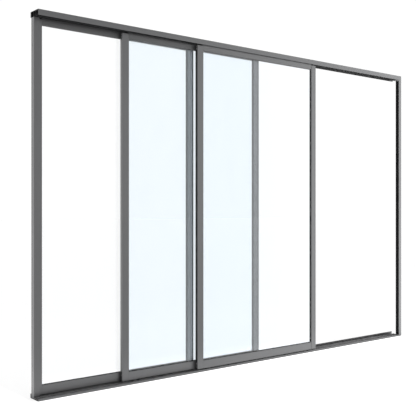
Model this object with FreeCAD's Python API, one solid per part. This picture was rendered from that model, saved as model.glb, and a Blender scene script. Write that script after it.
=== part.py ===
import FreeCAD, Part
import os

V = FreeCAD.Vector

# ---------------------------------------------------------------------------
# Three-track sliding glass door.  Millimetres, +Z up, +X along the width,
# front of the door faces -Y.  The origin is on the underside of the sill
# rail, at the middle of its width, under the middle track.
# ---------------------------------------------------------------------------

# overall
WIDTH = 3482.0          # length of the head and sill rails
HEIGHT = 2300.0         # underside of sill to top of head
PITCH = 28.0            # distance between the tracks
HALF_DEPTH = 46.0       # front and back planes of the head rail
SILL_BACK = 58.0        # the sill reaches further back than the head

# extrusion walls
WALL = 1.8
WEB = 2.5               # top web of the head and floor of the sill
DIVIDER = 1.6

# head rail
HEAD_H = 35.0

# sill rail
LIP_H = 13.0
FLANGE_H = 26.5
RIB_W = 2.4
RIB_TOP = 10.0
TRACK_TOP = 12.5
TRACK_W = 5.0

# panels
PANEL_W = 1190.0
PANEL_T = 22.0
PANEL_Z0 = 20.0
PANEL_Z1 = 2257.0
STILE_W = 49.0
BOTTOM_TOP = 75.5       # upper edge of the bottom rail
TOP_LOW = 2225.5        # lower edge of the top rail
GROOVE = 15.0           # depth of the glazing groove
PART_T = 2.0            # partitions inside the profiles
NECK_W = 16.0
NECK_TOP = 2287.0
GLASS_T = 8.0
GLASS_IN = 11.0         # glass held in the groove
GASKET_OUT = 2.5        # gasket lip past the frame's edge

CAP_H = 8.0

# where the panels' left edges stand in the stored pose
REAR_X = -1734.5
MIDDLE_X = -1141.0
FRONT_X = -550.0

# jambs
JAMB_W = 37.0
JAMB_BACK = 29.0        # the rear flange of the jamb is shorter
JAMB_T = 36.0

# end stops
STOP_L = 65.0
STOP_IN = 21.0          # from the end of the head rail
STOP_T = 20.0

# rollers
WHEEL_R = 9.0
FLANGE_R = 11.0
WHEEL_T = 9.0
CARRIAGE_L = 70.0
CARRIAGE_T = 14.0

# fixing holes
HOLE_R = 2.75
HEAD_HOLES = (1600.0, 960.0, 320.0)
SILL_HOLES = (1600.0, 960.0, 320.0)
JAMB_HOLES = (200.0, 830.0, 1470.0, 2100.0)

HW = WIDTH / 2.0


def box(x0, x1, y0, y1, z0, z1):
    return Part.makeBox(x1 - x0, y1 - y0, z1 - z0, V(x0, y0, z0))


def prism_x(points, x0, x1):
    """Closed profile given as (y, z), drawn out along X."""
    w = Part.makePolygon([V(x0, y, z) for y, z in points] + [V(x0, points[0][0], points[0][1])])
    return Part.Face(w).extrude(V(x1 - x0, 0, 0))


def prism_z(points, z0, z1):
    """Closed profile given as (x, y), drawn out along Z."""
    w = Part.makePolygon([V(x, y, z0) for x, y in points] + [V(points[0][0], points[0][1], z0)])
    return Part.Face(w).extrude(V(0, 0, z1 - z0))


def hole_z(x, y, z0, z1, r=HOLE_R):
    return Part.makeCylinder(r, z1 - z0, V(x, y, z0), V(0, 0, 1))


def hole_x(y, z, x0, x1, r=HOLE_R):
    return Part.makeCylinder(r, x1 - x0, V(x0, y, z), V(1, 0, 0))


def save(name, shape):
    shape = shape.removeSplitter()
    assert shape.isValid(), name
    shape.exportStep("parts/%s.step" % name)


# --- fixed frame -----------------------------------------------------------

def head_rail():
    z0 = HEIGHT - HEAD_H
    zw = HEIGHT - WEB
    b, w, d = HALF_DEPTH, WALL, DIVIDER / 2.0
    p = PITCH / 2.0
    pts = [(-b, HEIGHT), (-b, z0), (-b + w, z0), (-b + w, zw),
           (-p - d, zw), (-p - d, z0), (-p + d, z0), (-p + d, zw),
           (p - d, zw), (p - d, z0), (p + d, z0), (p + d, zw),
           (b - w, zw), (b - w, z0), (b, z0), (b, HEIGHT)]
    s = prism_x(pts, -HW, HW)
    for x in HEAD_HOLES:
        for sx in (-1, 1):
            s = s.cut(hole_z(sx * x, 0.0, zw - 1, HEIGHT + 1))
    return s


def sill_rail():
    f, k, w = -HALF_DEPTH, SILL_BACK, WALL
    r = RIB_W / 2.0
    pts = [(f, 0), (k, 0), (k, FLANGE_H), (k - w, FLANGE_H), (k - w, WEB)]
    for y in (PITCH, 0.0, -PITCH):
        pts += [(y + r, WEB), (y + r, RIB_TOP), (y - r, RIB_TOP), (y - r, WEB)]
    pts += [(f + w, WEB), (f + w, LIP_H), (f, LIP_H)]
    s = prism_x(pts, -HW, HW)
    for x in SILL_HOLES:
        for sx in (-1, 1):
            for y in (-PITCH / 2.0, PITCH / 2.0):
                s = s.cut(hole_z(sx * x, y, -1, WEB + 1))
    return s


def track(y):
    """Running rail: a cap with a round top that sits over the rib."""
    r = TRACK_W / 2.0
    c = RIB_TOP
    outer = Part.makeCylinder(r, WIDTH, V(-HW, y, c), V(1, 0, 0))
    outer = outer.fuse(box(-HW, HW, y - r, y + r, c - 4.0, c))
    return outer.cut(box(-HW - 1, HW + 1, y - RIB_W / 2.0, y + RIB_W / 2.0, c - 5.0, c))


def jamb(y, side):
    """U-profile, open towards the middle of the door.  side is -1 left, 1 right."""
    w = WALL
    y0, y1 = y - JAMB_T / 2.0, y + JAMB_T / 2.0
    xo = HW
    xi = HW - JAMB_W
    xb = HW - JAMB_BACK
    pts = [(xi, y0), (xo, y0), (xo, y1), (xb, y1), (xb, y1 - w), (xo - w, y1 - w),
           (xo - w, y0 + w), (xi, y0 + w)]
    pts = [(side * x, yy) for x, yy in pts]
    s = prism_z(pts, WEB, HEIGHT - HEAD_H)
    # the foot is notched over the running rail, and over the lip on the front jamb
    x0, x1 = (xi - 1, xo + 1) if side > 0 else (-xo - 1, -xi + 1)
    s = s.cut(box(x0, x1, y - 3.5, y + 3.5, 0, TRACK_TOP + 1.0))
    s = s.cut(box(x0, x1, -HALF_DEPTH - 1, -HALF_DEPTH + WALL, 0, LIP_H))
    for z in JAMB_HOLES:
        a, b = (HW - WALL - 1, HW + 1) if side > 0 else (-HW - 1, -HW + WALL + 1)
        s = s.cut(hole_x(y, z, a, b))
    return s


def stop(y, side):
    """Rubber buffer block fixed inside the open end of a head channel."""
    x0, x1 = (-HW + STOP_IN, -HW + STOP_IN + STOP_L) if side < 0 else (HW - STOP_IN - STOP_L, HW - STOP_IN)
    s = box(x0, x1, y - STOP_T / 2.0, y + STOP_T / 2.0, HEIGHT - WEB - 24.0, HEIGHT - WEB)
    return s


# --- sliding panels --------------------------------------------------------

def stile(x0, y, inner):
    """Full-height stile.  inner is 1 where the glass is on its +X side."""
    t = PANEL_T / 2.0
    w = WALL

    def q(a, b, c, d):
        # a, b measured from the outer edge towards the glass
        if inner > 0:
            return box(x0 + a, x0 + b, y + c, y + d, PANEL_Z0 - 1, PANEL_Z1 + 1)
        return box(x0 + STILE_W - b, x0 + STILE_W - a, y + c, y + d, PANEL_Z0 - 1, PANEL_Z1 + 1)

    s = box(x0, x0 + STILE_W, y - t, y + t, PANEL_Z0, PANEL_Z1)
    s = s.cut(q(w, STILE_W - GROOVE - PART_T, -t + w, t - w))
    s = s.cut(q(STILE_W - GROOVE, STILE_W + 1, -t + w, t - w))
    return s


def stile_caps(x0, y):
    """Plugs that close the tubes of both stiles, top and bottom."""
    t = PANEL_T / 2.0 - WALL
    solids = []
    for a, b in ((x0 + WALL, x0 + STILE_W - GROOVE - PART_T),
                 (x0 + PANEL_W - STILE_W + GROOVE + PART_T, x0 + PANEL_W - WALL)):
        for z0, z1 in ((PANEL_Z0, PANEL_Z0 + CAP_H), (PANEL_Z1 - CAP_H, PANEL_Z1)):
            solids.append(box(a, b, y - t, y + t, z0, z1))
    return Part.makeCompound(solids)


def bottom_rail(x0, y):
    t = PANEL_T / 2.0
    w = WALL
    a, b = x0 + STILE_W, x0 + PANEL_W - STILE_W
    s = box(a, b, y - t, y + t, PANEL_Z0, BOTTOM_TOP)
    s = s.cut(box(a - 1, b + 1, y - t + w, y + t - w, PANEL_Z0 - 1, PANEL_Z0 + 20.0))
    s = s.cut(box(a - 1, b + 1, y - t + w, y + t - w, PANEL_Z0 + 22.0, BOTTOM_TOP - GROOVE - PART_T))
    s = s.cut(box(a - 1, b + 1, y - t + w, y + t - w, BOTTOM_TOP - GROOVE, BOTTOM_TOP + 1))
    return s


def top_rail(x0, y):
    t = PANEL_T / 2.0
    w = WALL
    n = NECK_W / 2.0
    a, b = x0 + STILE_W, x0 + PANEL_W - STILE_W
    s = box(a, b, y - t, y + t, TOP_LOW, PANEL_Z1)
    s = s.fuse(box(a, b, y - n, y + n, PANEL_Z1, NECK_TOP))
    s = s.cut(box(a - 1, b + 1, y - t + w, y + t - w, TOP_LOW - 1, TOP_LOW + GROOVE))
    s = s.cut(box(a - 1, b + 1, y - t + w, y + t - w, TOP_LOW + GROOVE + PART_T, PANEL_Z1 - w))
    s = s.cut(box(a - 1, b + 1, y - n + w, y + n - w, PANEL_Z1, NECK_TOP - w))
    return s


def glass(x0, y):
    return box(x0 + STILE_W - GLASS_IN, x0 + PANEL_W - STILE_W + GLASS_IN,
               y - GLASS_T / 2.0, y + GLASS_T / 2.0,
               BOTTOM_TOP - GLASS_IN, TOP_LOW + GLASS_IN)


def gasket(x0, y):
    """Wedge gasket in the groove, front and back, with a sloped lip on the glass."""
    t = PANEL_T / 2.0 - WALL
    g = GLASS_T / 2.0
    deep = 9.0
    o = GASKET_OUT
    ax, bx = x0 + STILE_W, x0 + PANEL_W - STILE_W
    az, bz = BOTTOM_TOP, TOP_LOW

    def rect(yy, e):
        # rectangle e millimetres inside the visible glass edge
        p = [V(ax + e, yy, az + e), V(bx - e, yy, az + e), V(bx - e, yy, bz - e), V(ax + e, yy, bz - e)]
        return Part.makePolygon(p + [p[0]])

    out = None
    for s in (-1, 1):
        y0, y1 = (y + g, y + t) if s > 0 else (y - t, y - g)
        ring = box(ax - deep, bx + deep, y0, y1, az - deep, bz + deep)
        # opening: narrow at the glass, flush with the frame's edge at the outside
        near, far = (y + g - 0.01, y + t + 0.01) if s > 0 else (y - g + 0.01, y - t - 0.01)
        cone = Part.makeLoft([rect(near, o), rect(far, 0.0)], True, True)
        ring = ring.cut(cone)
        out = ring if out is None else Part.makeCompound([out, ring])
    return out


def roller(xc, y):
    """Carriage with two grooved wheels that straddle the track's round top."""
    c = CARRIAGE_T / 2.0
    zc = TRACK_TOP + 0.3 + WHEEL_R
    zt = PANEL_Z0 + 20.0
    s = box(xc - CARRIAGE_L / 2.0, xc + CARRIAGE_L / 2.0, y - c, y + c, PANEL_Z0 + 1.0, zt)
    for dx in (-20.0, 20.0):
        s = s.cut(box(xc + dx - 12.5, xc + dx + 12.5, y - WHEEL_T / 2.0 - 0.5, y + WHEEL_T / 2.0 + 0.5,
                      PANEL_Z0, zt - 4.0))
    s = s.cut(box(xc - CARRIAGE_L / 2.0 - 1, xc + CARRIAGE_L / 2.0 + 1, y - 3.2, y + 3.2, PANEL_Z0, PANEL_Z0 + 3.0))
    for dx in (-20.0, 20.0):
        x = xc + dx
        wheel = Part.makeCylinder(WHEEL_R, WHEEL_T, V(x, y - WHEEL_T / 2.0, zc), V(0, 1, 0))
        wheel = wheel.fuse(Part.makeCylinder(FLANGE_R, WHEEL_T / 2.0 - 3.0, V(x, y - WHEEL_T / 2.0, zc), V(0, 1, 0)))
        wheel = wheel.fuse(Part.makeCylinder(FLANGE_R, WHEEL_T / 2.0 - 3.0, V(x, y + 3.0, zc), V(0, 1, 0)))
        axle = Part.makeCylinder(2.0, 2 * c, V(x, y - c, zc), V(0, 1, 0))
        s = s.fuse(wheel).fuse(axle)
    return s


def main():
    os.makedirs("parts", exist_ok=True)
    save("head_rail", head_rail())
    save("sill_rail", sill_rail())
    save("front_track", track(-PITCH))
    save("middle_track", track(0.0))
    save("rear_track", track(PITCH))
    save("left_jamb", jamb(PITCH, -1))
    save("right_jamb", jamb(-PITCH, 1))
    save("front_left_stop", stop(-PITCH, -1))
    save("middle_left_stop", stop(0.0, -1))
    save("middle_right_stop", stop(0.0, 1))
    save("rear_right_stop", stop(PITCH, 1))
    for name, x0, y in (("rear", REAR_X, PITCH), ("middle", MIDDLE_X, 0.0), ("front", FRONT_X, -PITCH)):
        save(name + "_left_stile", stile(x0, y, 1))
        save(name + "_right_stile", stile(x0 + PANEL_W - STILE_W, y, -1))
        save(name + "_top_rail", top_rail(x0, y))
        save(name + "_bottom_rail", bottom_rail(x0, y))
        save(name + "_stile_caps", stile_caps(x0, y))
        save(name + "_glass", glass(x0, y))
        save(name + "_gasket", gasket(x0, y))
        save(name + "_left_roller", roller(x0 + STILE_W + 60.0, y))
        save(name + "_right_roller", roller(x0 + PANEL_W - STILE_W - 60.0, y))


main()
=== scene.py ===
import math
import random

import bmesh
import bpy
from mathutils import Matrix, Vector


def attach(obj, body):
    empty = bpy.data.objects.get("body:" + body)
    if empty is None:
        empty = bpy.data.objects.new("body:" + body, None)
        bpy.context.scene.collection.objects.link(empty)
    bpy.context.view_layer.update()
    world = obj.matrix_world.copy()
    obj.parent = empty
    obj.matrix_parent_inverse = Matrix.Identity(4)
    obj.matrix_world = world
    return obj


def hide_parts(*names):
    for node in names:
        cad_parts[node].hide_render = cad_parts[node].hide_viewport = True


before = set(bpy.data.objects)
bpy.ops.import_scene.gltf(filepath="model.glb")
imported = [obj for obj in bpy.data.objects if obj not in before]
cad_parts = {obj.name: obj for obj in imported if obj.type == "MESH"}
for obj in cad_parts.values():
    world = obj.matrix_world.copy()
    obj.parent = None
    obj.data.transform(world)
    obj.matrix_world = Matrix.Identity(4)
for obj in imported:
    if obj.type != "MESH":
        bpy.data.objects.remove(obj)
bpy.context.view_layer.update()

rnd = random.Random(11)
MM = 0.001

# ---------------------------------------------------------------------------
# camera: level, at the photograph's viewing angle
# ---------------------------------------------------------------------------
cam_data = bpy.data.cameras.new("camera")
cam_data.sensor_width = 36.0
cam_data.lens = 62.71
cam_data.shift_y = -0.00036
cam_data.clip_start, cam_data.clip_end = 0.05, 300.0
cam = bpy.data.objects.new("camera", cam_data)
cam.location = (-3.6339, -3.9678, 1.1339)
cam.rotation_euler = (math.radians(90.0), 0.0, -math.radians(38.955))
bpy.context.scene.collection.objects.link(cam)
bpy.context.scene.camera = cam
bpy.context.scene.view_settings.view_transform = "Standard"
bpy.context.scene.view_settings.look = "None"


# ---------------------------------------------------------------------------
# node helpers
# ---------------------------------------------------------------------------
class Tree:
    """Builds a node tree; inputs may be numbers, tuples or output sockets."""

    def __init__(self, nt):
        self.nt = nt
        nt.nodes.clear()

    def node(self, kind, props=None, **ins):
        n = self.nt.nodes.new(kind)
        for k, v in (props or {}).items():
            setattr(n, k, v)
        for k, v in ins.items():
            self.set(n, k, v)
        return n

    def set(self, n, key, v):
        if isinstance(key, str) and key.startswith("i") and key[1:].isdigit():
            s = n.inputs[int(key[1:])]
        else:
            s = n.inputs[key.replace("_", " ")]
        if isinstance(v, bpy.types.NodeSocket):
            self.nt.links.new(v, s)
        else:
            s.default_value = v

    def math(self, op, a, b=0.0, c=0.0, clamp=False):
        n = self.node("ShaderNodeMath", {"operation": op, "use_clamp": clamp}, i0=a, i1=b)
        if op in ("MULTIPLY_ADD", "SMOOTH_MIN", "WRAP", "COMPARE"):
            self.set(n, "i2", c)
        return n.outputs[0]

    def noise(self, vec, scale, detail=2.0, rough=0.5, distortion=0.0):
        n = self.node("ShaderNodeTexNoise", None, Vector=vec, Scale=scale, Detail=detail,
                      Roughness=rough, Distortion=distortion)
        return n.outputs[0]

    def mapping(self, vec, scale=(1, 1, 1), loc=(0, 0, 0)):
        return self.node("ShaderNodeMapping", None, Vector=vec, Scale=scale, Location=loc).outputs[0]

    def ramp(self, fac, stops):
        n = self.node("ShaderNodeValToRGB", None, Fac=fac)
        e = n.color_ramp.elements
        while len(e) < len(stops):
            e.new(0.5)
        for el, (p, c) in zip(e, stops):
            el.position = p
            el.color = (*c, 1.0) if len(c) == 3 else c
        return n.outputs[0]

    def range(self, v, a, b, c, d, smooth=False):
        return self.node("ShaderNodeMapRange", {"interpolation_type": "SMOOTHSTEP" if smooth else "LINEAR"},
                         Value=v, From_Min=a, From_Max=b, To_Min=c, To_Max=d).outputs[0]

    def mix(self, fac, a, b, kind="MIX"):
        n = self.node("ShaderNodeMix", {"data_type": "RGBA", "blend_type": kind})
        self.set(n, "i0", fac)
        self.set(n, "i6", a)
        self.set(n, "i7", b)
        return n.outputs[2]

    def bump(self, height, strength, distance, normal=None):
        n = self.node("ShaderNodeBump", None, Height=height, Strength=strength, Distance=distance)
        if normal is not None:
            self.set(n, "Normal", normal)
        return n.outputs[0]


def rgba(c):
    return (*c, 1.0)


def material(name):
    m = bpy.data.materials.new(name)
    m.use_nodes = True
    t = Tree(m.node_tree)
    return m, t


def output(t, shader):
    o = t.node("ShaderNodeOutputMaterial")
    t.nt.links.new(shader, o.inputs["Surface"])


STRETCH = {"X": (3.0, 620.0, 620.0), "Z": (620.0, 620.0, 3.0)}


def powder(name, axis, base=(0.112, 0.113, 0.1155), rough=0.42, floor_dust=0.0, edge=False, sawn_ends_and_painted_shade=False, covered=0.0, span=None, mouth=None, flank=0.0):
    """Dark grey metallic powder coat on extruded aluminium; axis is the way the extrusion runs."""
    m, t = material(name)
    obj = t.node("ShaderNodeTexCoord").outputs["Object"]
    grain = t.noise(obj, 1500.0, 2.0, 0.6)                    # cured powder grain, under a millimetre
    peel = t.noise(obj, 210.0, 3.0, 0.5)                      # orange peel, a few millimetres
    broad = t.noise(obj, 2.1, 4.0, 0.55)                      # slow change of tone along a profile
    die = t.noise(t.mapping(obj, STRETCH[axis]), 1.0, 2.0, 0.6)  # die lines along the extrusion
    tone = t.math("MULTIPLY_ADD", grain, 0.30, -0.15)
    tone = t.math("ADD", tone, t.math("MULTIPLY_ADD", broad, 0.22, -0.11))
    tone = t.math("ADD", tone, t.math("MULTIPLY_ADD", die, 0.10, -0.05))
    tone = t.math("ADD", tone, 0.5, clamp=True)
    # the bevel faces are painted 6 % lighter: a painted highlight along the edges
    k = 1.06 if edge else 1.0
    dark = tuple(c * 0.80 * k for c in base)
    light = tuple(c * 1.20 * k for c in base)
    col = t.mix(tone, rgba(dark), rgba(light))
    rg = t.math("MULTIPLY_ADD", peel, 0.10, rough - 0.05)
    rg = t.math("ADD", rg, t.math("MULTIPLY_ADD", broad, 0.10, -0.05))
    rg = t.math("ADD", rg, t.math("MULTIPLY_ADD", die, 0.08, -0.04))
    metal = 0.74
    if covered > 0.0:
        # painted light: the front face that stands behind the next panel's glass is painted lighter, a painted sheen
        # in place of the reflection that the next panel's stile blocks
        ny = t.node("ShaderNodeSeparateXYZ", None,
                    Vector=t.node("ShaderNodeNewGeometry").outputs["Normal"]).outputs["Y"]
        painted_sheen_mask = t.range(ny, -0.95, -0.80, covered, 0.0)
        sheen = t.mix(tone, (0.26, 0.26, 0.27, 1), (0.32, 0.32, 0.33, 1))
        if span:
            # painted highlight, brightest next to the meeting edge
            x = t.node("ShaderNodeSeparateXYZ", None, Vector=obj).outputs["X"]
            sheen = t.mix(t.range(x, span[0], span[1], 0.0, 1.0), sheen, (0.80, 0.80, 0.81, 1))
        col = t.mix(painted_sheen_mask, col, sheen)
    if flank > 0.0:
        # painted light: the side face is painted lighter as well
        nx = t.node("ShaderNodeSeparateXYZ", None,
                    Vector=t.node("ShaderNodeNewGeometry").outputs["Normal"]).outputs["X"]
        col = t.mix(t.range(nx, -0.95, -0.80, flank, 0.0), col, (0.29, 0.29, 0.30, 1))
    if floor_dust > 0.0:
        # grit and wheel dust that settles on upward faces low down, with scuffs along the sill
        geo = t.node("ShaderNodeNewGeometry").outputs["Normal"]
        up = t.node("ShaderNodeSeparateXYZ", None, Vector=geo).outputs["Z"]
        up = t.range(up, 0.55, 0.95, 0.0, 1.0)
        z = t.node("ShaderNodeSeparateXYZ", None, Vector=obj).outputs["Z"]
        low = t.range(z, 0.0, 0.030, 1.0, 0.15)
        patch = t.range(t.noise(t.mapping(obj, (5.0, 60.0, 60.0)), 1.0, 5.0, 0.65), 0.42, 0.70, 0.0, 1.0)
        dust = t.math("MULTIPLY", t.math("MULTIPLY", up, low), t.math("MULTIPLY_ADD", patch, floor_dust, 0.42))
        col = t.mix(dust, col, (0.38, 0.375, 0.365, 1.0))
        rg = t.math("ADD", rg, t.math("MULTIPLY", dust, 0.35), clamp=True)
        scuff = t.range(t.noise(t.mapping(obj, (9.0, 900.0, 900.0), (3, 1, 2)), 1.0, 3.0, 0.7), 0.66, 0.74, 0.0, 0.35)
        col = t.mix(t.math("MULTIPLY", scuff, low), col, (0.26, 0.26, 0.265, 1.0))
    if mouth:
        # black band on the jamb up to the mouth line, along the mouth of the closing jamb
        x = t.node("ShaderNodeSeparateXYZ", None, Vector=obj).outputs["X"]
        lip = t.range(x, mouth - 0.0002, mouth + 0.0002, 1.0, 0.0)
        col = t.mix(lip, col, t.mix(grain, (0.012, 0.012, 0.012, 1), (0.026, 0.026, 0.027, 1)))
        rg = t.math("ADD", rg, t.math("MULTIPLY", lip, 0.25), clamp=True)
    if sawn_ends_and_painted_shade:
        # sawn ends of the rail: dull, with saw lines, and darkened as painted shade; inside the channels and on
        # downward faces the colour is painted shade
        facing = t.node("ShaderNodeSeparateXYZ", None,
                        Vector=t.node("ShaderNodeNewGeometry").outputs["Normal"])
        place = t.node("ShaderNodeSeparateXYZ", None, Vector=obj)
        within = t.range(t.math("ABSOLUTE", place.outputs["Y"]), 0.0452, 0.0456, 1.0, 0.0)
        within = t.math("MULTIPLY", within, t.range(place.outputs["Z"], 2.2640, 2.2660, 0.0, 1.0))
        within = t.math("MULTIPLY", within, t.range(place.outputs["Z"], 2.2980, 2.2985, 1.0, 0.0))
        inner = t.math("MAXIMUM", within, t.range(facing.outputs["Z"], -0.95, -0.80, 1.0, 0.0))
        col = t.mix(inner, col, t.mix(tone, (0.030, 0.030, 0.031, 1), (0.046, 0.046, 0.048, 1)))
        # painted shade on the end faces, with saw lines in it
        end = t.range(t.math("ABSOLUTE", facing.outputs["X"]), 0.80, 0.95, 0.0, 1.0)
        saw = t.noise(t.mapping(obj, (40.0, 300.0, 3000.0)), 1.0, 2.0, 0.6)
        col = t.mix(end, col, t.mix(saw, (0.018, 0.018, 0.019, 1), (0.034, 0.034, 0.035, 1)))
        rg = t.math("ADD", rg, t.math("MULTIPLY", end, 0.25), clamp=True)
    h = t.math("MULTIPLY_ADD", grain, 0.35, t.math("MULTIPLY_ADD", die, 0.25, peel))
    nrm = t.bump(h, 0.35, 0.00006)
    b = t.node("ShaderNodeBsdfPrincipled", None, Base_Color=col, Roughness=rg, Normal=nrm)
    b.inputs["Metallic"].default_value = metal
    b.inputs["IOR"].default_value = 1.5
    b.inputs["Coat Weight"].default_value = 0.0 if edge else 0.08
    b.inputs["Coat Roughness"].default_value = 0.22
    output(t, b.outputs[0])
    return m


def running_track(name):
    """Drawn dark anodised rail with a bright band where the wheels run."""
    m, t = material(name)
    obj = t.node("ShaderNodeTexCoord").outputs["Object"]
    streak = t.noise(t.mapping(obj, (4.0, 1500.0, 1500.0)), 1.0, 3.0, 0.65)
    broad = t.noise(obj, 3.0, 4.0, 0.6)
    z = t.node("ShaderNodeSeparateXYZ", None, Vector=obj).outputs["Z"]
    run = t.range(z, 0.0116, 0.0123, 0.0, 1.0, smooth=True)
    run = t.math("MULTIPLY", run, t.range(broad, 0.30, 0.62, 0.45, 1.0))
    dark = t.mix(streak, (0.17, 0.17, 0.173, 1), (0.24, 0.24, 0.245, 1))
    bright = t.mix(streak, (0.25, 0.25, 0.25, 1), (0.35, 0.35, 0.35, 1))
    col = t.mix(run, dark, bright)
    grit = t.range(t.noise(obj, 420.0, 4.0, 0.7), 0.60, 0.72, 0.0, 0.5)
    grit = t.math("MULTIPLY", grit, t.range(z, 0.006, 0.011, 1.0, 0.0))
    col = t.mix(grit, col, (0.20, 0.185, 0.165, 1))
    rg = t.math("MULTIPLY_ADD", streak, 0.16, 0.34)
    rg = t.math("ADD", rg, t.math("MULTIPLY", run, -0.08))
    nrm = t.bump(streak, 0.3, 0.00004)
    b = t.node("ShaderNodeBsdfPrincipled", None, Base_Color=col, Roughness=rg, Normal=nrm)
    b.inputs["Metallic"].default_value = 1.0
    output(t, b.outputs[0])
    return m


GLASS_IOR = 1.5
HAZE = 0.022                                  # thin film of dust on each face of the glass


def clear_glass(name, tint, deep):
    """8 mm toughened float glass: faint cold tint, slow roller wave, traces of wiping.
    Each face passes most of the light straight on and mirrors the rest by its angle."""
    m, t = material(name)
    obj = t.node("ShaderNodeTexCoord").outputs["Object"]
    wave = t.noise(t.mapping(obj, (0.6, 1.0, 3.2)), 1.0, 1.0, 0.4)
    wipe = t.noise(t.mapping(obj, (7.0, 1.0, 2.0)), 1.0, 4.0, 0.6, 1.5)
    dust = t.noise(obj, 900.0, 2.0, 0.6)
    rg = t.range(wipe, 0.50, 0.80, 0.004, 0.030)
    rg = t.math("ADD", rg, t.range(dust, 0.70, 0.80, 0.0, 0.02))
    nrm = t.bump(wave, 0.02, 0.0008)
    col = t.mix(t.range(wipe, 0.3, 0.8, 0.0, 1.0), tint, deep)
    see = t.node("ShaderNodeBsdfTransparent", None, Color=col)
    mirror = t.node("ShaderNodeBsdfPrincipled", None, Base_Color=(0.96, 0.98, 0.98, 1), Roughness=rg, Normal=nrm)
    mirror.inputs["Metallic"].default_value = 1.0
    out = t.node("ShaderNodeFresnel", None, IOR=GLASS_IOR).outputs[0]
    back = t.node("ShaderNodeFresnel", None, IOR=1.0 / GLASS_IOR).outputs[0]
    inside = t.node("ShaderNodeNewGeometry").outputs["Backfacing"]
    fac = t.math("ADD", t.math("MULTIPLY", out, t.math("SUBTRACT", 1.0, inside)), t.math("MULTIPLY", back, inside))
    fac = t.math("ADD", fac, t.range(dust, 0.66, 0.80, 0.0, 0.010), clamp=True)
    film = t.node("ShaderNodeBsdfDiffuse", None, Color=(0.90, 0.93, 0.96, 1))
    hazy = t.node("ShaderNodeMixShader", None, i0=t.range(wipe, 0.3, 0.8, HAZE * 0.85, HAZE * 1.15))
    t.nt.links.new(see.outputs[0], hazy.inputs[1])
    t.nt.links.new(film.outputs[0], hazy.inputs[2])
    mix = t.node("ShaderNodeMixShader", None, i0=fac)
    t.nt.links.new(hazy.outputs[0], mix.inputs[1])
    t.nt.links.new(mirror.outputs[0], mix.inputs[2])
    output(t, mix.outputs[0])
    return m


def plain_rubber(name, base, rough, scale, axis=None, height=0.00008, shine=0.5, upper=None, right=None):
    """Extruded or moulded rubber and plastic: fine pitted skin, slight bloom."""
    m, t = material(name)
    obj = t.node("ShaderNodeTexCoord").outputs["Object"]
    pits = t.noise(obj, scale, 3.0, 0.6)
    bloom = t.noise(obj, 14.0, 4.0, 0.6)
    line = t.noise(t.mapping(obj, STRETCH[axis]), 1.0, 2.0, 0.5) if axis else pits
    fac = t.math("ADD", t.math("MULTIPLY", bloom, 0.6), t.math("MULTIPLY", pits, 0.4), clamp=True)
    col = t.mix(fac, rgba(tuple(c * 0.75 for c in base)), rgba(tuple(c * 1.35 for c in base)))
    if upper:
        # the run under the top rail is paler grey
        z = t.node("ShaderNodeSeparateXYZ", None, Vector=obj).outputs["Z"]
        grey = t.mix(fac, rgba(tuple(c * 0.85 for c in upper)), rgba(tuple(c * 1.15 for c in upper)))
        paler_run = t.range(z, 2.2050, 2.2200, 0.0, 1.0)
        if right is not None:
            # painted light: the upright behind the next panel's glass is painted paler too, like the stile beside it
            x = t.node("ShaderNodeSeparateXYZ", None, Vector=obj).outputs["X"]
            paler_run = t.math("MAXIMUM", paler_run, t.range(x, right, right + 0.004, 0.0, 1.0))
        col = t.mix(paler_run, col, grey)
    rg = t.math("MULTIPLY_ADD", bloom, 0.20, rough - 0.10)
    h = t.math("ADD", pits, t.math("MULTIPLY", line, 0.5))
    nrm = t.bump(h, 0.4, height)
    b = t.node("ShaderNodeBsdfPrincipled", None, Base_Color=col, Roughness=rg, Normal=nrm)
    b.inputs["IOR"].default_value = 1.48
    b.inputs["Specular IOR Level"].default_value = shine
    output(t, b.outputs[0])
    return m


def pile(name):
    """Black pile of a brush seal, fibres standing off the backing."""
    m, t = material(name)
    obj = t.node("ShaderNodeTexCoord").outputs["Object"]
    fib = t.noise(t.mapping(obj, (2600.0, 500.0, 2600.0)), 1.0, 2.0, 0.7)
    col = t.mix(fib, (0.010, 0.010, 0.011, 1), (0.045, 0.045, 0.047, 1))
    nrm = t.bump(fib, 0.8, 0.0003)
    rg = t.math("MULTIPLY_ADD", fib, 0.2, 0.75)
    b = t.node("ShaderNodeBsdfPrincipled", None, Base_Color=col, Roughness=rg, Normal=nrm)
    b.inputs["Sheen Weight"].default_value = 0.15
    b.inputs["Sheen Roughness"].default_value = 0.5
    b.inputs["Specular IOR Level"].default_value = 0.25
    output(t, b.outputs[0])
    return m


def bright_steel(name, base=(0.52, 0.52, 0.51), rough=0.30, spot=(0.36, 0.35, 0.33)):
    """Zinc-plated or stainless small parts: cloudy plating, fine scratches."""
    m, t = material(name)
    obj = t.node("ShaderNodeTexCoord").outputs["Object"]
    cloud = t.noise(obj, 180.0, 4.0, 0.6)
    scratch = t.noise(t.mapping(obj, (2600.0, 300.0, 900.0)), 1.0, 3.0, 0.7)
    col = t.mix(t.range(cloud, 0.35, 0.7, 0.0, 1.0), rgba(base), rgba(spot))
    rg = t.math("MULTIPLY_ADD", scratch, 0.20, rough - 0.08)
    nrm = t.bump(scratch, 0.3, 0.00003)
    b = t.node("ShaderNodeBsdfPrincipled", None, Base_Color=col, Roughness=rg, Normal=nrm)
    b.inputs["Metallic"].default_value = 1.0
    output(t, b.outputs[0])
    return m


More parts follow.
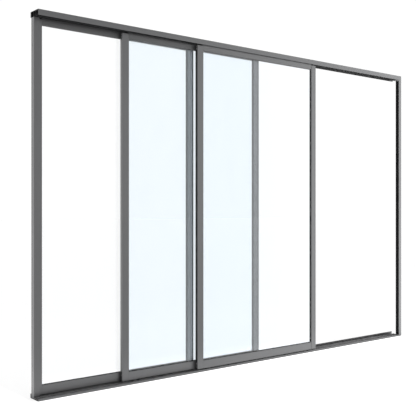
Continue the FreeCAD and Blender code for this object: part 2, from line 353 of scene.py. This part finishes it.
def studio_floor(name):
    """Pale floor, softly lit through: a little brighter to the front right and to the back left."""
    m, t = material(name)
    obj = t.node("ShaderNodeTexCoord").outputs["Object"]
    a = t.noise(obj, 1.3, 4.0, 0.6)
    f = t.noise(obj, 340.0, 3.0, 0.6)
    col = t.mix(t.math("ADD", t.math("MULTIPLY", a, 0.7), t.math("MULTIPLY", f, 0.3)),
                (0.300, 0.300, 0.302, 1), (0.325, 0.325, 0.325, 1))
    nrm = t.bump(f, 0.1, 0.0004)
    xyz = t.node("ShaderNodeSeparateXYZ", None, Vector=obj)
    x, y = xyz.outputs["X"], xyz.outputs["Y"]
    front = t.range(y, 0.0, -0.8, 0.0, 1.0, smooth=True)
    # bearing of the floor point as the glass mirrors it, so the floor goes on where the wall of light ends
    vx, vy = t.math("ADD", x, 3.634), t.math("ADD", y, -3.968)
    far = t.math("SQRT", t.math("ADD", t.math("MULTIPLY", vx, vx), t.math("MULTIPLY", vy, vy)))
    cos75 = t.math("DIVIDE", t.math("SUBTRACT", t.math("MULTIPLY", vx, 0.9659), t.math("MULTIPLY", vy, 0.2588)), far)
    right = t.math("ADD", t.range(cos75, *SKY_RIGHT, smooth=True), t.range(cos75, *SKY_SIDE, smooth=True))
    right = t.math("MULTIPLY", front, right)
    # painted light: the floor glows more just in front of the door, filling its contact shadow
    near = t.math("MULTIPLY", t.range(y, -0.02, -0.10, 0.0, 1.0, smooth=True), t.range(y, -0.60, -0.22, 0.0, FLOOR_NEAR, smooth=True))
    near = t.math("MULTIPLY", near, t.range(x, -1.2, 1.0, 0.75, 1.5, smooth=True))
    side = t.math("SUBTRACT", t.math("MULTIPLY_ADD", y, 0.389, 1.544), t.math("MULTIPLY_ADD", x, 0.921, 3.347))
    left = t.math("MULTIPLY", t.range(side, 0.3, 1.5, 0.0, FLOOR_LEFT, smooth=True), t.range(y, -0.5, 0.5, 0.0, 1.0))
    # painted light: the floor beside the left jamb glows more, filling the shade the sill casts there
    beside = t.math("MULTIPLY", t.range(x, -1.85, -1.76, FLOOR_LEFT, 0.0, smooth=True), t.range(y, -0.10, 0.06, 0.0, 1.0))
    corner = t.math("MULTIPLY", t.range(x, -2.60, -2.10, 0.0, 0.8, smooth=True), t.range(y, 1.10, 0.50, 0.0, 1.0, smooth=True))
    beside = t.math("MULTIPLY", beside, t.math("ADD", corner, 1.0))
    left = t.math("MAXIMUM", left, beside)
    e = t.math("ADD", t.math("ADD", right, t.math("ADD", left, near)), t.math("MULTIPLY_ADD", front, FLOOR_FRONT, FLOOR_BASE))
    e = t.math("SUBTRACT", e, t.range(t.math("ABSOLUTE", y), 1.0, 4.0, 0.0, 0.017, smooth=True))
    b = t.node("ShaderNodeBsdfPrincipled", None, Base_Color=col, Normal=nrm, Emission_Strength=e)
    b.inputs["Emission Color"].default_value = (1.0, 1.0, 1.0, 1.0)
    b.inputs["Roughness"].default_value = 0.8
    b.inputs["Specular IOR Level"].default_value = 0.1
    output(t, b.outputs[0])
    return m


FLOOR_BASE, FLOOR_FRONT, FLOOR_LEFT, FLOOR_NEAR = 0.79, 0.12, 0.92, 1.00
SKY_BASE = 1.03
SKY_RIGHT = (0.84, 0.97, 0.0, 3.2)
SKY_SIDE = (0.72, 0.88, 0.0, 0.20)
SKY_LEFT = (0.75, 0.95, 0.0, 0.68)
SKY_TOP = (0.275, 0.46, 1.0, 0.32)

M = {
    "rail": powder("powder_coat_rail", "X", sawn_ends_and_painted_shade=True),
    # painted shade: a darker copy of the rail finish for the top rails of the rear and middle panels, standing in for
    # the shade under the head
    "top": powder("powder_coat_top_rail_painted_shade", "X", base=(0.0874, 0.0881, 0.0901), sawn_ends_and_painted_shade=True),
    "stile": powder("powder_coat_stile", "Z"),
    "sill": powder("powder_coat_sill", "X", floor_dust=0.12, rough=0.44, sawn_ends_and_painted_shade=True),
    "closing": powder("powder_coat_closing_jamb", "Z", mouth=1.7080),
    # painted light: lighter copies of the stile finish for the stiles that stand behind the next panel's glass
    "covered": powder("powder_coat_covered", "Z", covered=0.90, span=(-0.588, -0.546)),
    "half": powder("powder_coat_overlap", "Z", covered=0.12, flank=0.36),
    "edge": powder("powder_coat_edge", "X", edge=True, rough=0.40),
    "track": running_track("anodised_track"),
    "glass": clear_glass("clear_glass", (0.9950, 0.9970, 0.9985, 1), (0.9925, 0.9955, 0.9975, 1)),
    "forward": clear_glass("clear_glass_front", (0.9720, 0.9840, 0.9985, 1), (0.9700, 0.9825, 0.9975, 1)),
    "tinted": clear_glass("clear_glass_cold", (0.9490, 0.9780, 0.9975, 1), (0.9465, 0.9765, 0.9965, 1)),
    "gasket": plain_rubber("gasket_rubber", (0.015, 0.0155, 0.0165), 0.65, 1400.0, shine=0.2,
                           upper=(0.080, 0.080, 0.081)),
    "gasket_rear": plain_rubber("gasket_rubber_rear", (0.015, 0.0155, 0.0165), 0.65, 1400.0, shine=0.2,
                                upper=(0.080, 0.080, 0.081), right=-0.606),
    "gasket_middle": plain_rubber("gasket_rubber_middle", (0.015, 0.0155, 0.0165), 0.65, 1400.0, shine=0.2,
                                  upper=(0.080, 0.080, 0.081), right=-0.012),
    "rubber": plain_rubber("buffer_rubber", (0.014, 0.014, 0.015), 0.60, 900.0, shine=0.25),
    "foam": plain_rubber("packing_foam", (0.014, 0.014, 0.0145), 0.90, 600.0, height=0.00025, shine=0.1),
    "cap": plain_rubber("cap_nylon", (0.030, 0.030, 0.032), 0.42, 700.0),
    "wheel": plain_rubber("wheel_nylon", (0.030, 0.030, 0.032), 0.42, 800.0),
    "pile": pile("brush_pile"),
    "zinc": bright_steel("zinc_steel", (0.16, 0.16, 0.165), 0.40, (0.11, 0.11, 0.115)),
    "screw": bright_steel("screw_steel", (0.40, 0.40, 0.40), 0.28, (0.30, 0.29, 0.28)),
}


# ---------------------------------------------------------------------------
# carried-over nodes: finish, and a small radius on every extruded edge
# ---------------------------------------------------------------------------
PANELS = ("rear", "middle", "front")
X0 = {"rear": -1734.5, "middle": -1141.0, "front": -550.0}
YC = {"rear": 28.0, "middle": 0.0, "front": -28.0}
PW, PT, SW = 1190.0, 22.0, 49.0
ZB, ZT = 20.0, 2257.0
END = 1741.0                                  # half the length of the rails


def soften(ob, width, segments=2, edge=True, angle=35.0):
    if edge:
        ob.data.materials.append(M["edge"])
    w = ob.modifiers.new("weld", "WELD")
    w.merge_threshold = 1e-5
    b = ob.modifiers.new("edge radius", "BEVEL")
    b.width = width * MM
    b.segments = segments
    b.limit_method = "ANGLE"
    b.angle_limit = math.radians(angle)
    b.use_clamp_overlap = False
    b.material = 1 if edge else -1
    n = ob.modifiers.new("normals", "WEIGHTED_NORMAL")
    n.weight = 60
    n.keep_sharp = False


def finish_node(name, mat, width=0.0, edge=True):
    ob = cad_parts[name]
    for s in ob.material_slots:
        s.material = mat
    if width > 0.0:
        soften(ob, width, edge=edge)
    return ob


finish_node("head_rail", M["rail"], 0.35)
finish_node("sill_rail", M["sill"], 0.35).modifiers["edge radius"].segments = 1
finish_node("left_jamb", M["stile"], 0.35)
finish_node("right_jamb", M["closing"], 0.35, edge=False)
for n in ("front_track", "middle_track", "rear_track"):
    finish_node(n, M["track"])
for n in ("front_left_stop", "middle_left_stop", "middle_right_stop", "rear_right_stop"):
    finish_node(n, M["rubber"], 1.5, edge=False)
for p in PANELS:
    for n in ("left_stile", "right_stile"):
        kind = {"rear_right_stile": "covered", "middle_right_stile": "half"}.get(p + "_" + n, "stile")
        finish_node(p + "_" + n, M[kind], 0.5)
    for n in ("top_rail", "bottom_rail"):
        # the rear and middle top rails take the darker painted-shade copy
        kind = "top" if n == "top_rail" and p != "front" else "rail"
        finish_node(p + "_" + n, M[kind], 0.4)
    finish_node(p + "_glass", M[{"rear": "glass", "middle": "tinted", "front": "forward"}[p]])
    finish_node(p + "_gasket", M[{"rear": "gasket_rear", "middle": "gasket_middle", "front": "gasket"}[p]])
    finish_node(p + "_stile_caps", M["cap"], 0.5, edge=False)


# ---------------------------------------------------------------------------
# mesh helpers for the added pieces (millimetres in, metres out)
# ---------------------------------------------------------------------------
def make(name, bm, body, slot, *mats, smooth=False):
    bmesh.ops.recalc_face_normals(bm, faces=bm.faces)
    me = bpy.data.meshes.new(name)
    for f in bm.faces:
        f.smooth = smooth
    bm.to_mesh(me)
    bm.free()
    ob = bpy.data.objects.new(name, me)
    bpy.context.scene.collection.objects.link(ob)
    for m in mats:
        me.materials.append(m)
    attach(ob, body)
    return ob


def add_prism(bm, pts, axis, a, b, mat=0):
    """Closed profile (u, v) drawn out along axis from a to b."""
    def at(u, v, w):
        return {"X": (w, u, v), "Y": (u, w, v), "Z": (u, v, w)}[axis]
    lo = [bm.verts.new([c * MM for c in at(u, v, a)]) for u, v in pts]
    hi = [bm.verts.new([c * MM for c in at(u, v, b)]) for u, v in pts]
    n = len(pts)
    fs = [bm.faces.new(lo), bm.faces.new(list(reversed(hi)))]
    for i in range(n):
        fs.append(bm.faces.new((lo[i], lo[(i + 1) % n], hi[(i + 1) % n], hi[i])))
    for f in fs:
        f.material_index = mat
    return fs


def add_lathe(bm, prof, axis, centre, seg=32, mat=0):
    """Closed ring profile (along, radius) turned about axis through centre."""
    rings = []
    for along, r in prof:
        ring = []
        for i in range(seg):
            a = 2 * math.pi * i / seg
            c, s = r * math.cos(a), r * math.sin(a)
            p = {"X": (along, c, s), "Y": (c, along, s), "Z": (c, s, along)}[axis]
            ring.append(bm.verts.new([(q + o) * MM for q, o in zip(p, centre)]))
        rings.append(ring)
    for a, b in zip(rings, rings[1:]):
        for i in range(seg):
            f = bm.faces.new((a[i], a[(i + 1) % seg], b[(i + 1) % seg], b[i]))
            f.material_index = mat
    for r in (rings[0], rings[-1]):
        f = bm.faces.new(r)
        f.material_index = mat


def add_screw(bm, at, axis, sign, r=3.4, h=2.0, mat=0):
    """Raised countersunk head with a cross recess; sign is the way the head faces."""
    seg = 20
    o = Vector(at)
    ax = {"X": Vector((1, 0, 0)), "Y": Vector((0, 1, 0)), "Z": Vector((0, 0, 1))}[axis] * sign
    u = ax.orthogonal().normalized()
    v = ax.cross(u)
    rings = []
    for rr, hh in ((r, 0.0), (r, h * 0.25), (r * 0.86, h * 0.62), (r * 0.60, h * 0.88), (r * 0.42, h * 0.97)):
        rings.append([bm.verts.new((o + u * rr * math.cos(2 * math.pi * i / seg)
                                    + v * rr * math.sin(2 * math.pi * i / seg) + ax * hh) * MM)
                      for i in range(seg)])
    for a, b in zip(rings, rings[1:]):
        for i in range(seg):
            bm.faces.new((a[i], a[(i + 1) % seg], b[(i + 1) % seg], b[i])).material_index = mat
    # the recess: a four-lobed pit
    inner = []
    for i in range(seg):
        a = 2 * math.pi * i / seg
        k = 0.40 if (i % 5) in (0,) else 0.16
        inner.append(bm.verts.new((o + u * r * k * math.cos(a) + v * r * k * math.sin(a) + ax * h * 0.35) * MM))
    for i in range(seg):
        bm.faces.new((rings[-1][i], rings[-1][(i + 1) % seg], inner[(i + 1) % seg], inner[i])).material_index = mat
    bm.faces.new(inner).material_index = mat
    bm.faces.new(list(reversed(rings[0]))).material_index = mat


def add_pile(bm, axis, a, b, root, tip, half, side, step=1.3, mat=0, jitter=0.35):
    """Brush pile: a dense row of tufts from root to tip.  half is its half thickness.
    axis is the way the strip runs; side says which axis root and tip are measured on;
    the third axis carries the thickness, about `half[0]`."""
    centre, h = half
    order = {("Z", "Y"): lambda w, d, th: (th, d, w), ("Z", "X"): lambda w, d, th: (d, th, w),
             ("X", "Y"): lambda w, d, th: (w, d, th), ("X", "Z"): lambda w, d, th: (w, th, d)}[(axis, side)]
    n = int((b - a) / step)
    prev = None
    for i in range(n + 1):
        w = a + (b - a) * i / n
        j = (rnd.random() - 0.5) * jitter
        d = tip + (root - tip) * (0.10 if i % 2 else 0.0) + j * (1 if tip < root else -1) * 0.0
        d = d + (root - tip) * abs(j) * 0.12
        k = 0.62 + 0.2 * rnd.random()
        lean = (rnd.random() - 0.5) * 0.5
        ring = [bm.verts.new([c * MM for c in order(w, root, centre - h)]),
                bm.verts.new([c * MM for c in order(w, root, centre + h)]),
                bm.verts.new([c * MM for c in order(w + lean, d, centre + h * k)]),
                bm.verts.new([c * MM for c in order(w + lean, d, centre - h * k)])]
        if prev:
            for q in range(4):
                bm.faces.new((prev[q], prev[(q + 1) % 4], ring[(q + 1) % 4], ring[q])).material_index = mat
        else:
            bm.faces.new(ring).material_index = mat
        prev = ring
    bm.faces.new(list(reversed(prev))).material_index = mat


# ---------------------------------------------------------------------------
# meeting stiles: a low lip with a brush seal that closes the gap to the next panel
# ---------------------------------------------------------------------------
def meeting_seal(panel, side, face):
    """side -1: left stile, +1: right stile.  face -1: on the front, +1: on the back."""
    x0, yc = X0[panel], YC[panel]
    xe = x0 if side < 0 else x0 + PW           # outer edge of the stile
    yf = yc + face * PT / 2.0                  # the face it stands on
    z0, z1 = ZB + 2.0, ZT - 2.0

    def xs(d):
        return xe + (d if side < 0 else -d)

    def ys(d):
        return yf + face * d
    name = "%s_%s_seal" % (panel, "left" if side < 0 else "right")
    bm = bmesh.new()
    # aluminium carrier: outer lip and a lower inner lip on a thin base
    prof = [(0.4, -0.2), (7.0, -0.2), (7.0, 1.1), (6.5, 1.4), (5.9, 1.1), (5.9, 0.5), (1.5, 0.5),
            (1.5, 1.9), (1.2, 2.2), (0.7, 2.2), (0.4, 1.9)]
    add_prism(bm, [(xs(u), ys(v)) for u, v in prof], "Z", z0, z1, 0)
    ob = make(name + "_carrier", bm, panel + "_panel", "powder_coat", M["stile"])
    bm = bmesh.new()
    add_pile(bm, "Z", z0 + 1.0, z1 - 1.0, ys(0.6), ys(2.8), ((xs(1.6) + xs(5.8)) / 2.0, 1.9), "Y")
    make(name + "_pile", bm, panel + "_panel", "gasket", M["pile"])
    return ob


meeting_seal("rear", 1, -1)
meeting_seal("middle", -1, 1)
meeting_seal("middle", 1, -1)
meeting_seal("front", -1, 1)


def edge_strip(panel, side, half, depth):
    """Soft black strip on the narrow side of a stile that meets the next panel."""
    x0, yc = X0[panel], YC[panel]
    xe = x0 if side < 0 else x0 + PW
    bm = bmesh.new()
    prof = [(-0.2, -half), (depth * 0.5, -half), (depth * 0.9, -half + 0.5), (depth, -half + 1.6)]
    for i in range(4):
        # shallow ribs along the strip
        y = -half + 1.6 + (2 * half - 3.2) * (i + 0.5) / 4.0
        w = (2 * half - 3.2) / 16.0
        prof += [(depth, y - w), (depth - 0.35, y - w * 0.4), (depth - 0.35, y + w * 0.4), (depth, y + w)]
    prof += [(depth, half - 1.6), (depth * 0.9, half - 0.5), (depth * 0.5, half), (-0.2, half)]
    add_prism(bm, [(xe + side * u, yc + v) for u, v in prof], "Z", ZB + 46.0, ZT - 32.0, 0)
    return make("%s_%s_edge_strip" % (panel, "left" if side < 0 else "right"), bm, panel + "_panel", "rubber", M["rubber"])


edge_strip("front", -1, 9.0, 0.6)


# ---------------------------------------------------------------------------
# head channels: brush seals on both sides of each guide, and screws through the web
# ---------------------------------------------------------------------------
HZ0, HZ1, HWEB = 2265.0, 2300.0, 2297.5


def head_brushes():
    runs = {"front": (-1654.0, 1720.0), "middle": (-1654.0, 1654.0), "rear": (-1720.0, 1654.0)}
    for p, (a, b) in runs.items():
        yc = YC[p]
        bm = bmesh.new()
        bs = bmesh.new()
        for s in (-1, 1):
            if p == "front":
                wall = yc + s * (14.0 - 0.8) if s > 0 else -46.0 + 1.8
            elif p == "rear":
                wall = yc + s * (14.0 - 0.8) if s < 0 else 46.0 - 1.8
            else:
                wall = yc + s * (14.0 - 0.8)
            inner = yc + s * 8.6
            z = HZ0 + 10.0
            d = -s
            # C-shaped holder for the backing, standing off the wall
            prof = [(wall + d * 0.0, z - 3.6), (wall + d * 1.6, z - 3.6), (wall + d * 1.6, z - 2.6),
                    (wall + d * 0.6, z - 2.6), (wall + d * 0.6, z + 2.6), (wall + d * 1.6, z + 2.6),
                    (wall + d * 1.6, z + 3.6), (wall + d * 0.0, z + 3.6)]
            add_prism(bm, prof, "X", a, b)
            add_pile(bs, "X", a + 1.0, b - 1.0, wall + d * 0.7, inner, (z, 2.3), "Y", step=2.0)
        make("head_%s_brush_holder" % p, bm, "frame", "powder_coat", M["rail"])
        make("head_%s_brush" % p, bs, "frame", "gasket", M["pile"])


head_brushes()


def fixing_screws():
    bm = bmesh.new()
    for x in (1600.0, 960.0, 320.0):
        for s in (-1, 1):
            for y in (-14.0, 14.0):
                add_screw(bm, (s * x, y, 2.5), "Z", 1, r=4.2, h=1.8)
    make("sill_screws", bm, "frame", "track_steel", M["screw"], smooth=True)
    bm = bmesh.new()
    for x in (1600.0, 960.0, 320.0):
        for s in (-1, 1):
            add_screw(bm, (s * x, 0.0, HWEB), "Z", -1, r=4.2, h=1.8)
    make("head_screws", bm, "frame", "track_steel", M["screw"], smooth=True)
    bm = bmesh.new()
    for z in (200.0, 830.0, 1470.0, 2100.0):
        add_screw(bm, (-END + 1.8, 28.0, z), "X", 1, r=4.2, h=1.8)
        add_screw(bm, (END - 1.8, -28.0, z), "X", -1, r=4.2, h=1.8)
    make("jamb_screws", bm, "frame", "track_steel", M["screw"], smooth=True)


fixing_screws()


# ---------------------------------------------------------------------------
# jambs: brush seals inside both flanges; a closing buffer in the right jamb
# ---------------------------------------------------------------------------
def jamb_seals():
    for name, side, yc in (("left", -1, 28.0), ("right", 1, -28.0)):
        bm = bmesh.new()
        bs = bmesh.new()
        for s in (-1, 1):
            wall = yc + s * (18.0 - 1.8)
            d = -s
            xc = side * (END - 20.0)
            prof = [(xc - 3.6, wall), (xc - 3.6, wall + d * 1.6), (xc - 2.6, wall + d * 1.6),
                    (xc - 2.6, wall + d * 0.6), (xc + 2.6, wall + d * 0.6), (xc + 2.6, wall + d * 1.6),
                    (xc + 3.6, wall + d * 1.6), (xc + 3.6, wall)]
            add_prism(bm, prof, "Z", 22.0, 2261.0)
            add_pile(bs, "Z", 24.0, 2259.0, wall + d * 0.7, yc + s * 11.6, (xc, 2.3), "Y", step=1.6)
        make("%s_jamb_brush_holder" % name, bm, "frame", "powder_coat", M["stile"])
        make("%s_jamb_brush" % name, bs, "frame", "gasket", M["pile"])
    # closing buffer: hollow rubber section on the back wall of the right jamb
    bm = bmesh.new()
    prof = [(1739.2, -37.0), (1739.2, -19.0), (1737.6, -19.0), (1736.8, -20.6), (1735.0, -22.4),
            (1734.4, -25.0), (1734.4, -31.0), (1735.0, -33.6), (1736.8, -35.4), (1737.6, -37.0)]
    add_prism(bm, prof, "Z", 84.0, 2206.0)
    ob = make("right_jamb_buffer", bm, "frame", "rubber", M["rubber"])
    # soft liner on the mouth of the closing jamb: caps on both tips and a ribbed strip on the back wall
    bm = bmesh.new()
    add_prism(bm, [(1702.8, -45.7), (1703.1, -45.95), (1704.1, -45.95), (1704.1, -44.1), (1710.0, -44.1),
                   (1710.0, -43.4), (1703.4, -43.4), (1702.8, -43.9)], "Z", 22.0, 2261.0)
    add_prism(bm, [(1712.2, -10.1), (1709.8, -10.1), (1709.5, -10.5), (1709.5, -12.4), (1710.0, -12.9),
                   (1717.0, -12.9), (1717.0, -11.7), (1712.2, -11.7)], "Z", 22.0, 2261.0)
    for i in range(4):
        x = 1725.2 + 2.2 * i
        add_prism(bm, [(x, -11.7), (x, -12.5), (x + 0.5, -12.9), (x + 1.5, -12.9), (x + 2.0, -12.5), (x + 2.0, -11.7)],
                  "Z", 22.0, 2261.0)
    make("right_jamb_liner", bm, "frame", "rubber", M["rubber"])


jamb_seals()


# ---------------------------------------------------------------------------
# panels: assembly screws in the stiles, height-adjustment plugs, rollers
# ---------------------------------------------------------------------------
def panel_fittings(p):
    x0, yc = X0[p], YC[p]
    bm = bmesh.new()
    for xe, s in ((x0, -1), (x0 + PW, 1)):
        for z in (34.0, 58.0, 2233.0, 2249.0):
            add_screw(bm, (xe, yc, z), "X", s, r=3.2, h=1.1)
    make(p + "_corner_screws", bm, p + "_panel", "track_steel", M["screw"], smooth=True)


for p in PANELS:
    panel_fittings(p)


def joint_seals(p):
    """Thin black seals where the rails butt against the stiles, on both faces."""
    x0, yc = X0[p], YC[p]
    bm = bmesh.new()
    for z0, z1 in ((ZB + 1.0, 75.2), (2225.8, ZT - 0.5)):
        for xa, xb in ((x0 + SW - 0.1, x0 + SW + 0.35), (x0 + PW - SW - 3.4, x0 + PW - SW + 0.1)):
            c = min(0.4, (xb - xa) * 0.25)
            for s in (-1, 1):
                f = yc + s * PT / 2.0
                add_prism(bm, [(xa, f - s * 0.3), (xa, f + s * 0.12), (xa + c, f + s * 0.24), (xb - c, f + s * 0.24),
                               (xb, f + s * 0.12), (xb, f - s * 0.3)], "Z", z0, z1)
    make(p + "_joint_seals", bm, p + "_panel", "rubber", M["rubber"])


for p in PANELS:
    joint_seals(p)


def head_packing():
    """Compressed foam strip behind the head rail, between it and the wall."""
    bm = bmesh.new()
    add_prism(bm, [(46.02, 2266.4), (55.4, 2266.4), (56.3, 2267.4), (56.3, 2298.6), (55.4, 2299.6), (46.02, 2299.6)],
              "X", -1740.7, 1740.7, 0)
    make("head_packing_strip", bm, "frame", "rubber", M["foam"])


head_packing()


def glazing_bead(p, wide):
    """Narrow bead along the inner edge of the left stile, flush with its face."""
    xa, f = X0[p] + SW, YC[p] - PT / 2.0
    bm = bmesh.new()
    add_prism(bm, [(xa - 0.2, f + 0.15), (xa + wide - 0.3, f + 0.15), (xa + wide, f + 0.45), (xa + wide, f + 2.3),
                   (xa + wide - 0.3, f + 2.6), (xa - 0.2, f + 2.6)], "Z", 76.0, 2225.0)
    make(p + "_left_bead", bm, p + "_panel", "powder_coat", M["stile"])


glazing_bead("front", 3.0)
glazing_bead("middle", 1.7)


def roller(p, side):
    """Pressed steel carriage with two grooved wheels on the track."""
    x0, yc = X0[p], YC[p]
    xc = x0 + SW + 60.0 if side < 0 else x0 + PW - SW - 60.0
    name = "%s_%s_roller" % (p, "left" if side < 0 else "right")
    zc = 21.8
    bm = bmesh.new()
    # folded housing: top plate with two cheeks and turned-out ends
    add_prism(bm, [(yc - 7.0, 22.0), (yc - 5.8, 22.0), (yc - 5.8, 38.2), (yc + 5.8, 38.2), (yc + 5.8, 22.0),
                   (yc + 7.0, 22.0), (yc + 7.0, 38.6), (yc + 6.2, 39.4), (yc - 6.2, 39.4), (yc - 7.0, 38.6)],
              "X", xc - 34.0, xc + 34.0, 0)
    for s in (-1, 1):
        add_prism(bm, [(yc - 5.6, 34.0), (yc + 5.6, 34.0), (yc + 5.6, 37.9), (yc - 5.6, 37.9)],
                  "X", xc + s * 33.2 - 0.8, xc + s * 33.2 + 0.8, 0)
    for dx in (-20.0, 20.0):
        # axle with riveted ends
        add_lathe(bm, [(-8.2, 1.2), (-8.0, 2.6), (-7.1, 3.0), (-7.1, 2.0), (7.1, 2.0), (7.1, 3.0), (8.0, 2.6), (8.2, 1.2)],
                  "Y", (xc + dx, yc, zc), 20, 1)
        # wheel: flanged, grooved for the rail's round top
        add_lathe(bm, [(-4.5, 4.0), (-4.5, 10.4), (-4.1, 11.0), (-3.5, 11.0), (-3.05, 10.5), (-2.5, 9.9), (-1.4, 9.25),
                       (0.0, 9.0), (1.4, 9.25), (2.5, 9.9), (3.05, 10.5), (3.5, 11.0), (4.1, 11.0), (4.5, 10.4), (4.5, 4.0)],
                  "Y", (xc + dx, yc, zc), 40, 2)
    # height-adjusting screw at the outer end
    e = side
    add_lathe(bm, [(0.0, 3.2), (4.0, 3.2), (4.4, 2.8), (4.6, 1.4)] if e > 0 else [(0.0, 3.2), (-4.0, 3.2), (-4.4, 2.8), (-4.6, 1.4)],
              "X", (xc + e * 34.0, yc, 33.0), 6, 1)
    ob = make(name + "_carriage", bm, p + "_panel", "track_steel", M["zinc"], M["screw"], M["wheel"])
    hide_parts(name)


for p in PANELS:
    roller(p, -1)
    roller(p, 1)


# ---------------------------------------------------------------------------
# stage: pale floor, even studio light that is stronger from the right and the back left, weak overhead
# ---------------------------------------------------------------------------
bm = bmesh.new()
for x, y in ((-60, -60), (60, -60), (60, 60), (-60, 60)):
    bm.verts.new((x, y, -0.0005))
bm.faces.new(bm.verts)
me = bpy.data.meshes.new("floor")
bm.to_mesh(me)
bm.free()
floor = bpy.data.objects.new("floor", me)
me.materials.append(studio_floor("studio_floor"))
bpy.context.scene.collection.objects.link(floor)

world = bpy.data.worlds.new("studio")
bpy.context.scene.world = world
world.use_nodes = True
w = Tree(world.node_tree)
d = w.node("ShaderNodeTexCoord").outputs["Generated"]
dx = w.node("ShaderNodeSeparateXYZ", None, Vector=d)
flat = w.node("ShaderNodeCombineXYZ", None, X=dx.outputs["X"], Y=dx.outputs["Y"], Z=0.0).outputs[0]
level = w.node("ShaderNodeVectorMath", {"operation": "NORMALIZE"}, i0=flat).outputs[0]


def bearing(deg):
    """Cosine of the angle on plan from the direction deg, counted from -Y towards +X."""
    n = w.node("ShaderNodeVectorMath", {"operation": "DOT_PRODUCT"}, i0=level)
    n.inputs[1].default_value = (math.sin(math.radians(deg)), -math.cos(math.radians(deg)), 0.0)
    return n.outputs["Value"]


right = w.range(bearing(75.0), *SKY_RIGHT, smooth=True)
right = w.math("ADD", right, w.range(bearing(75.0), *SKY_SIDE, smooth=True))
left = w.range(bearing(180.0 + 32.0), *SKY_LEFT, smooth=True)
over = w.range(dx.outputs["Z"], *SKY_TOP, smooth=True)
total = w.math("MULTIPLY", w.math("ADD", w.math("ADD", right, left), SKY_BASE), over)
bg = w.node("ShaderNodeBackground", None, Color=(1.0, 1.0, 1.0, 1.0), Strength=total)
wo = w.node("ShaderNodeOutputWorld")
w.nt.links.new(bg.outputs[0], wo.inputs["Surface"])
